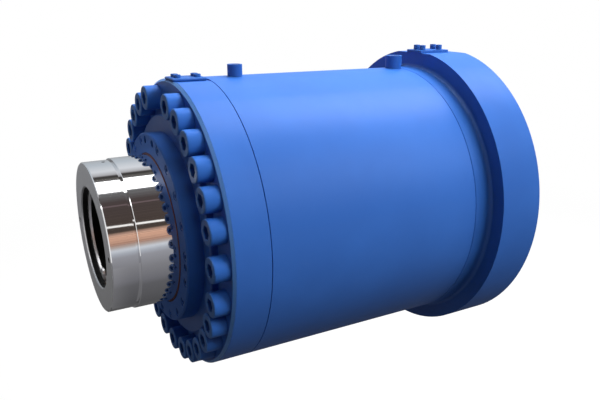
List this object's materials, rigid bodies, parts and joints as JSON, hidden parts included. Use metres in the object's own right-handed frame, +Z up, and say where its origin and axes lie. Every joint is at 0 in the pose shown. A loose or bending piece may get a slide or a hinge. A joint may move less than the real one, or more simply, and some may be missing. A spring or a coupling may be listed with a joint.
{
  "type": "hydraulic thrust cylinder",
  "caption": "Heavy double-acting hydraulic thrust cylinder: flanged blue barrel with bolted head, ports on top and a hollow-ended chromed rod that slides out.",
  "frame": {"origin": "centre of the mounting flange's flat rear face, on the cylinder axis", "axes": "+X along the cylinder axis out of the rear face, so the rod points to -X; +Z up through both oil ports and the top flats; +Y completes the right-handed set"},
  "size_m": [0.984, 0.75, 0.763],
  "materials": {
    "blue_paint": "gloss two-coat machine enamel, mid blue",
    "screw_paint": "same blue enamel, thinner and duller on the screw heads",
    "rod_chrome": "hard chrome plated and polished, mirror",
    "machined_steel": "fine turned steel, satin",
    "spring_steel": "blackened steel, dull",
    "wiper_red": "red-brown polyurethane, matte",
    "seal_black": "black nitrile rubber, matte",
    "guide_resin": "brown fabric resin, matte",
    "piston_resin": "bronze-filled fluoropolymer, matte",
    "backup_white": "white plastic, matte"
  },
  "bodies": {
    "cylinder": {"base_flange": "blue_paint", "barrel": "blue_paint", "head": "blue_paint", "head_screws": "screw_paint", "seal_retainer": "blue_paint", "retainer_screws": "screw_paint", "wiper": "wiper_red", "rod_seal": "seal_black", "buffer_seal": "seal_black", "rod_guide_bands": "guide_resin", "head_o_ring": "seal_black", "head_backup_ring": "backup_white", "retainer_o_ring": "seal_black", "front_port_boss": "blue_paint", "rear_port_boss": "blue_paint", "front_cover_plate": "blue_paint", "front_cover_seal": "seal_black", "front_cover_screws": "screw_paint", "rear_cover_plate": "blue_paint", "rear_cover_seal": "seal_black", "rear_cover_screws": "screw_paint"},
    "rod": {"piston_rod": "rod_chrome", "rod_end_ring": "machined_steel", "rod_end_circlip": "spring_steel", "end_ring_screw": "spring_steel", "piston": "machined_steel", "piston_seal": "piston_resin", "piston_seal_energizer": "seal_black", "piston_guide_rings": "guide_resin", "piston_o_ring": "seal_black", "piston_nut": "machined_steel", "nut_screws": "spring_steel"}
  },
  "joints": [
    {"name": "rod_slide", "type": "slide", "parent": "cylinder", "child": "rod", "axis": [-1, 0, 0], "range_m": [0, 0.26]}
  ]
}
